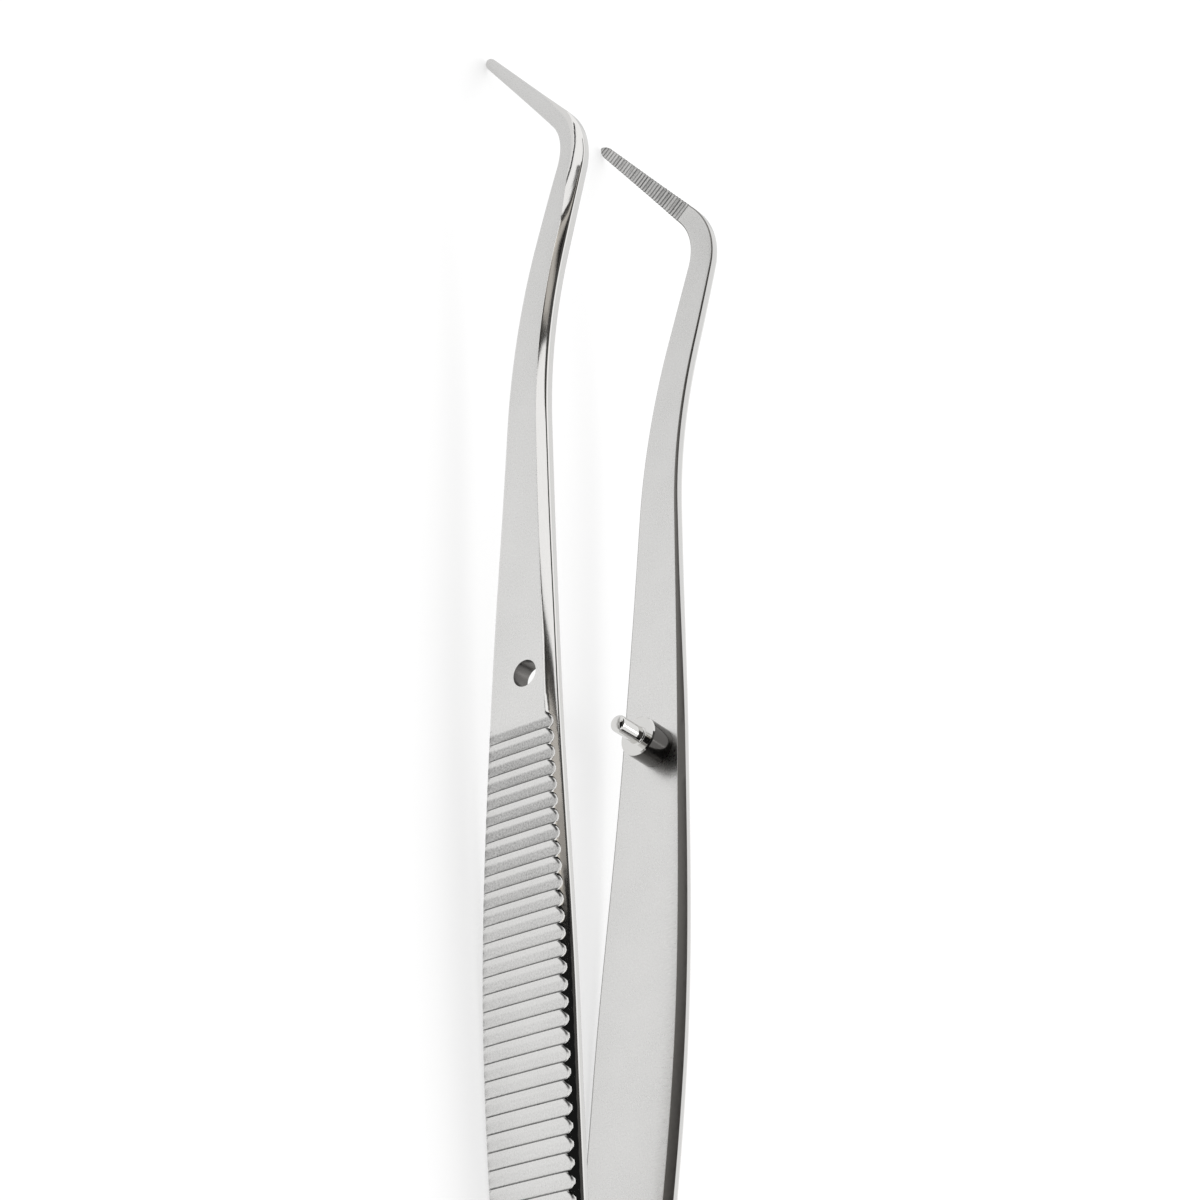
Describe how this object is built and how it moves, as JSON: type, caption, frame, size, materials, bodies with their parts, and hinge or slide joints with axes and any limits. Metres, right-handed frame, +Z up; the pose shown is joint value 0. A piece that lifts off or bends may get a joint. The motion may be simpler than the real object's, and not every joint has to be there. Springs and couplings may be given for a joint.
{
  "type": "angled surgical tweezers",
  "caption": "Angled surgical tweezers: sprung steel arms welded at the butt, with fluted finger grips, a guide pin and guide hole, and fine toothed tips.",
  "frame": {"origin": "middle of the length and width, at the level of the table that the butt and the tips rest on", "axes": "+X from the butt end towards the tips, +Y towards the arm with the guide hole, +Z up from the table, away from the bend of the tips"},
  "size_m": [0.1502, 0.0212, 0.0129],
  "materials": {
    "satin_steel": "fine satin faces with polished bevels",
    "polished_steel": "polished turned steel"
  },
  "bodies": {
    "root": {"arm_with_guide_hole": "satin_steel", "arm_with_guide_pin": "satin_steel", "guide_pin": "polished_steel"}
  },
  "joints": []
}
